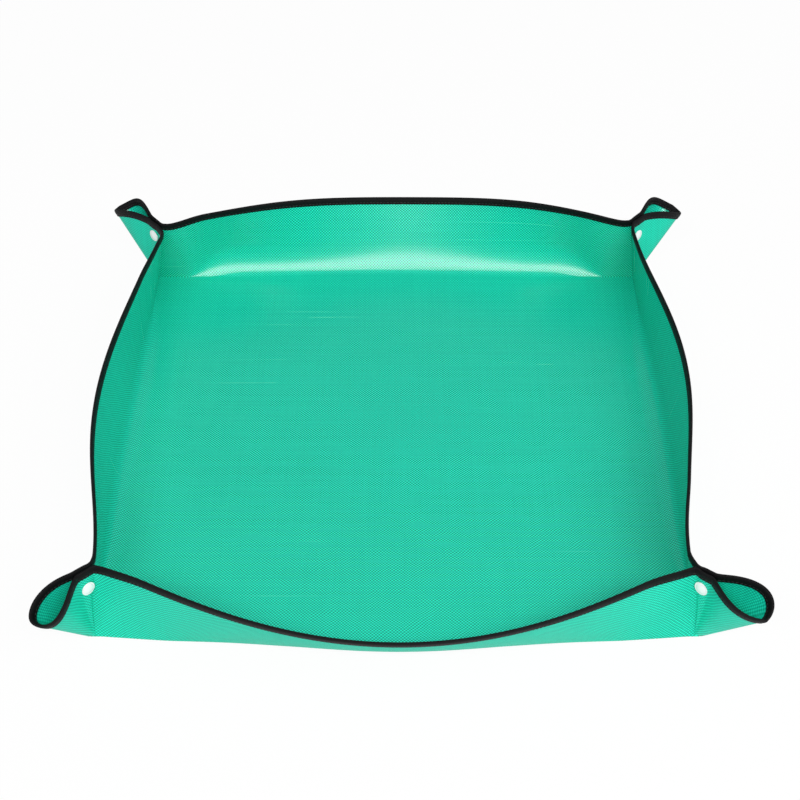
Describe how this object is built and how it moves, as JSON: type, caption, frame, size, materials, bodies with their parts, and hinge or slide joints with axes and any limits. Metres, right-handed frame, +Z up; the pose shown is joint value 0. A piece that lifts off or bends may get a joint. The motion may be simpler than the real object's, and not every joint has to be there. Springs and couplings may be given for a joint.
{
  "type": "potting soil tray",
  "caption": "Square foldable mat of coated sheet with a bound edge, its walls held up by a press snap at each pinched corner; unsnapped, it opens almost flat.",
  "frame": {"origin": "centre of the floor's underside, on the ground", "axes": "+Z up, -Y towards the low front wall, +X to the right seen from the front"},
  "size_m": [0.5848, 0.6048, 0.082],
  "materials": {
    "coated_sheet": "satin woven coating",
    "binding_tape": "matte woven tape",
    "snap_plastic": "gloss"
  },
  "bodies": {
    "floor": {"floor_panel": "coated_sheet"},
    "wall_front": {"wall_front_panel": "coated_sheet", "wall_front_binding": "binding_tape"},
    "wall_back": {"wall_back_panel": "coated_sheet", "wall_back_binding": "binding_tape"},
    "wall_left": {"wall_left_panel": "coated_sheet", "wall_left_binding": "binding_tape"},
    "wall_right": {"wall_right_panel": "coated_sheet", "wall_right_binding": "binding_tape"},
    "wall_end_fl": {"wall_end_fl_panel": "coated_sheet", "wall_end_fl_binding": "binding_tape"},
    "ear_fl_front": {"ear_fl_front_panel": "coated_sheet", "ear_fl_front_binding": "binding_tape", "snap_fl_front_cap": "snap_plastic", "snap_fl_stud": "snap_plastic"},
    "ear_fl_left": {"ear_fl_left_panel": "coated_sheet", "ear_fl_left_binding": "binding_tape", "snap_fl_left_cap": "snap_plastic", "snap_fl_socket": "snap_plastic"},
    "wall_end_fr": {"wall_end_fr_panel": "coated_sheet", "wall_end_fr_binding": "binding_tape"},
    "ear_fr_front": {"ear_fr_front_panel": "coated_sheet", "ear_fr_front_binding": "binding_tape", "snap_fr_front_cap": "snap_plastic", "snap_fr_stud": "snap_plastic"},
    "ear_fr_right": {"ear_fr_right_panel": "coated_sheet", "ear_fr_right_binding": "binding_tape", "snap_fr_right_cap": "snap_plastic", "snap_fr_socket": "snap_plastic"},
    "wall_end_bl": {"wall_end_bl_panel": "coated_sheet", "wall_end_bl_binding": "binding_tape"},
    "ear_bl_back": {"ear_bl_back_panel": "coated_sheet", "ear_bl_back_binding": "binding_tape", "snap_bl_back_cap": "snap_plastic", "snap_bl_stud": "snap_plastic"},
    "ear_bl_left": {"ear_bl_left_panel": "coated_sheet", "ear_bl_left_binding": "binding_tape", "snap_bl_left_cap": "snap_plastic", "snap_bl_socket": "snap_plastic"},
    "wall_end_br": {"wall_end_br_panel": "coated_sheet", "wall_end_br_binding": "binding_tape"},
    "ear_br_back": {"ear_br_back_panel": "coated_sheet", "ear_br_back_binding": "binding_tape", "snap_br_back_cap": "snap_plastic", "snap_br_stud": "snap_plastic"},
    "ear_br_right": {"ear_br_right_panel": "coated_sheet", "ear_br_right_binding": "binding_tape", "snap_br_right_cap": "snap_plastic", "snap_br_socket": "snap_plastic"}
  },
  "joints": [
    {"name": "left_wall_fold", "type": "hinge", "parent": "floor", "child": "wall_left", "pos_m": [-0.25, 0, 0], "axis": [0, -1, 0], "range_deg": [0, 75]},
    {"name": "right_wall_fold", "type": "hinge", "parent": "floor", "child": "wall_right", "pos_m": [0.25, 0, 0], "axis": [0, 1, 0], "range_deg": [0, 75]},
    {"name": "front_wall_fold", "type": "hinge", "parent": "floor", "child": "wall_front", "pos_m": [0, -0.25, 0], "axis": [1, 0, 0], "range_deg": [0, 31.5]},
    {"name": "back_wall_fold", "type": "hinge", "parent": "floor", "child": "wall_back", "pos_m": [0, 0.25, 0], "axis": [-1, 0, 0], "range_deg": [0, 43]},
    {"name": "fl_end_bend", "type": "hinge", "parent": "wall_front", "child": "wall_end_fl", "pos_m": [-0.24, -0.25, 0], "axis": [1, 0, 0], "range_deg": [0, 43.51]},
    {"name": "fl_front_ear_fold", "type": "hinge", "parent": "wall_end_fl", "child": "ear_fl_front", "pos_m": [-0.24583, -0.25, 0], "axis": [-0.121, -0.121, -0.9853], "range_deg": [0, 38.97]},
    {"name": "fl_left_ear_fold", "type": "hinge", "parent": "wall_left", "child": "ear_fl_left", "pos_m": [-0.25, -0.24583, 0], "axis": [0.121, 0.121, 0.9853], "range_deg": [0, 38.97]},
    {"name": "fr_end_bend", "type": "hinge", "parent": "wall_front", "child": "wall_end_fr", "pos_m": [0.24, -0.25, 0], "axis": [1, 0, 0], "range_deg": [0, 43.51]},
    {"name": "fr_front_ear_fold", "type": "hinge", "parent": "wall_end_fr", "child": "ear_fr_front", "pos_m": [0.24583, -0.25, 0], "axis": [-0.121, 0.121, 0.9853], "range_deg": [0, 38.97]},
    {"name": "fr_right_ear_fold", "type": "hinge", "parent": "wall_right", "child": "ear_fr_right", "pos_m": [0.25, -0.24583, 0], "axis": [0.121, -0.121, -0.9853], "range_deg": [0, 38.97]},
    {"name": "bl_end_bend", "type": "hinge", "parent": "wall_back", "child": "wall_end_bl", "pos_m": [-0.24, 0.25, 0], "axis": [-1, 0, 0], "range_deg": [0, 32.01]},
    {"name": "bl_back_ear_fold", "type": "hinge", "parent": "wall_end_bl", "child": "ear_bl_back", "pos_m": [-0.24583, 0.25, 0], "axis": [0.121, -0.121, 0.9853], "range_deg": [0, 38.97]},
    {"name": "bl_left_ear_fold", "type": "hinge", "parent": "wall_left", "child": "ear_bl_left", "pos_m": [-0.25, 0.24583, 0], "axis": [-0.121, 0.121, -0.9853], "range_deg": [0, 38.97]},
    {"name": "br_end_bend", "type": "hinge", "parent": "wall_back", "child": "wall_end_br", "pos_m": [0.24, 0.25, 0], "axis": [-1, 0, 0], "range_deg": [0, 32.01]},
    {"name": "br_back_ear_fold", "type": "hinge", "parent": "wall_end_br", "child": "ear_br_back", "pos_m": [0.24583, 0.25, 0], "axis": [0.121, 0.121, -0.9853], "range_deg": [0, 38.97]},
    {"name": "br_right_ear_fold", "type": "hinge", "parent": "wall_right", "child": "ear_br_right", "pos_m": [0.25, 0.24583, 0], "axis": [-0.121, -0.121, 0.9853], "range_deg": [0, 38.97]}
  ],
  "couplings": [
    {"joint": "right_wall_fold", "follows": "left_wall_fold", "ratio": 1},
    {"joint": "front_wall_fold", "follows": "left_wall_fold", "ratio": 0.42},
    {"joint": "back_wall_fold", "follows": "left_wall_fold", "ratio": 0.57333},
    {"joint": "fl_end_bend", "follows": "left_wall_fold", "ratio": 0.58},
    {"joint": "fl_front_ear_fold", "follows": "left_wall_fold", "ratio": 0.51945},
    {"joint": "fl_left_ear_fold", "follows": "left_wall_fold", "ratio": 0.51945},
    {"joint": "fr_end_bend", "follows": "left_wall_fold", "ratio": 0.58},
    {"joint": "fr_front_ear_fold", "follows": "left_wall_fold", "ratio": 0.51945},
    {"joint": "fr_right_ear_fold", "follows": "left_wall_fold", "ratio": 0.51945},
    {"joint": "bl_end_bend", "follows": "left_wall_fold", "ratio": 0.42667},
    {"joint": "bl_back_ear_fold", "follows": "left_wall_fold", "ratio": 0.51945},
    {"joint": "bl_left_ear_fold", "follows": "left_wall_fold", "ratio": 0.51945},
    {"joint": "br_end_bend", "follows": "left_wall_fold", "ratio": 0.42667},
    {"joint": "br_back_ear_fold", "follows": "left_wall_fold", "ratio": 0.51945},
    {"joint": "br_right_ear_fold", "follows": "left_wall_fold", "ratio": 0.51945}
  ]
}
